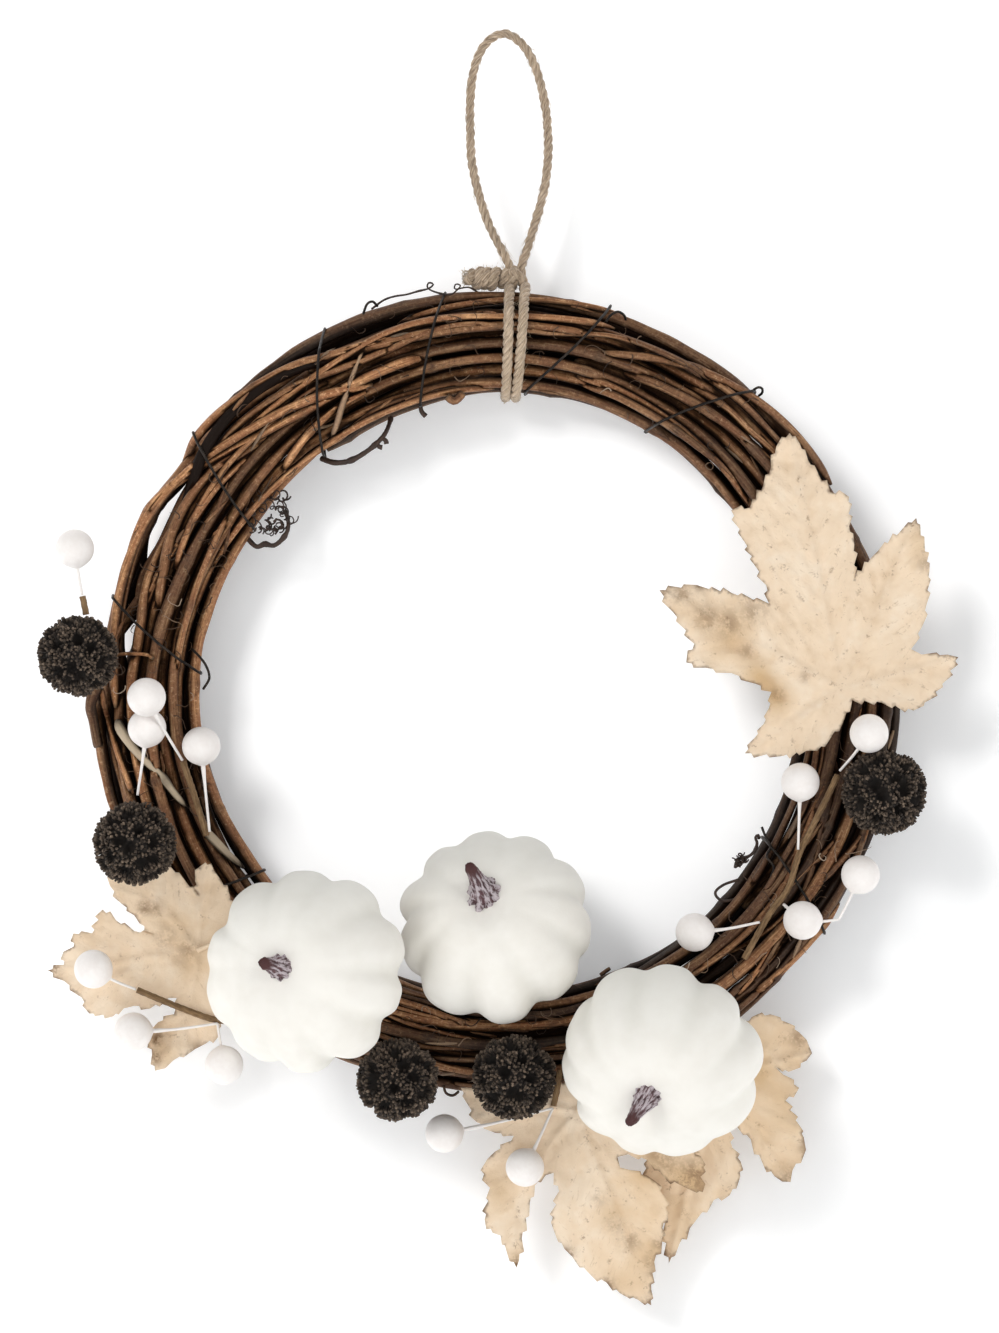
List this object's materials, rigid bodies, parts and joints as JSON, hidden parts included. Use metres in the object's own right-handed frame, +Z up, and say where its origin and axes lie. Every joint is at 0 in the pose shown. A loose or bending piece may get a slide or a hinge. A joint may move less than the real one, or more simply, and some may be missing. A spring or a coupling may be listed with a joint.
{
  "type": "grapevine wreath",
  "caption": "Round wreath of wound vine canes bound with wire, dressed on its lower half with pumpkins, seed pods, maple leaves and berries, hung by a jute loop.",
  "frame": {"origin": "inside of the jute loop's top, where the nail or hook that it hangs on is", "axes": "+Z up, -Y out of the wall towards the viewer, +X to the viewer's right"},
  "size_m": [0.3443, 0.107, 0.4835],
  "materials": {
    "vine": "rough bark",
    "wire": "satin black",
    "jute": "hairy twisted twine",
    "leaf": "matte printed cloth",
    "pumpkin": "matte chalky paint",
    "pumpkin_stem": "dry brushed",
    "pod": "dry and spiky",
    "spray_stem": "paper wrapped wire",
    "berry": "matte"
  },
  "bodies": {
    "root": {"vine_cane_1": "vine", "vine_cane_2": "vine", "vine_cane_3": "vine", "vine_cane_4": "vine", "vine_cane_5": "vine", "vine_cane_6": "vine", "vine_cane_7": "vine", "vine_cane_8": "vine", "vine_cane_9": "vine", "vine_cane_10": "vine", "vine_cane_11": "vine", "vine_runner_left": "vine", "vine_runner_dark": "vine", "vine_runner_right": "vine", "wire_1": "wire", "wire_2": "wire", "wire_3": "wire", "wire_4": "wire", "wire_5": "wire", "wire_6": "wire", "wire_7": "wire", "wire_8": "wire", "jute_hitch": "jute", "jute_knot": "jute", "jute_loop": "jute", "tendril_inner_top": "vine", "tendril_inner_left": "vine", "tendril_outer_top": "vine", "tendril_inner_right": "vine", "leaf_bottom_back": "leaf", "leaf_bottom_front": "leaf", "leaf_left": "leaf", "leaf_right": "leaf", "pumpkin_middle": "pumpkin", "pumpkin_middle_stem": "pumpkin_stem", "pumpkin_left": "pumpkin", "pumpkin_left_stem": "pumpkin_stem", "pumpkin_right": "pumpkin", "pumpkin_right_stem": "pumpkin_stem", "pod_left_upper": "pod", "pod_left_lower": "pod", "pod_right": "pod", "pod_bottom_left": "pod", "pod_bottom_right": "pod", "spray_left_upper_stem": "spray_stem", "spray_left_upper_berries_1": "berry", "spray_left_stem": "spray_stem", "spray_left_berries_1": "berry", "spray_left_berries_2": "berry", "spray_left_pod_berries_1": "berry", "spray_lower_left_stem": "spray_stem", "spray_lower_left_berries_1": "berry", "spray_lower_left_berries_2": "berry", "spray_bottom_stem": "spray_stem", "spray_bottom_berries_1": "berry", "spray_right_stem": "spray_stem", "spray_right_berries_1": "berry", "spray_right_berries_2": "berry", "spray_right_berries_3": "berry", "spray_right_berries_4": "berry"}
  },
  "joints": []
}
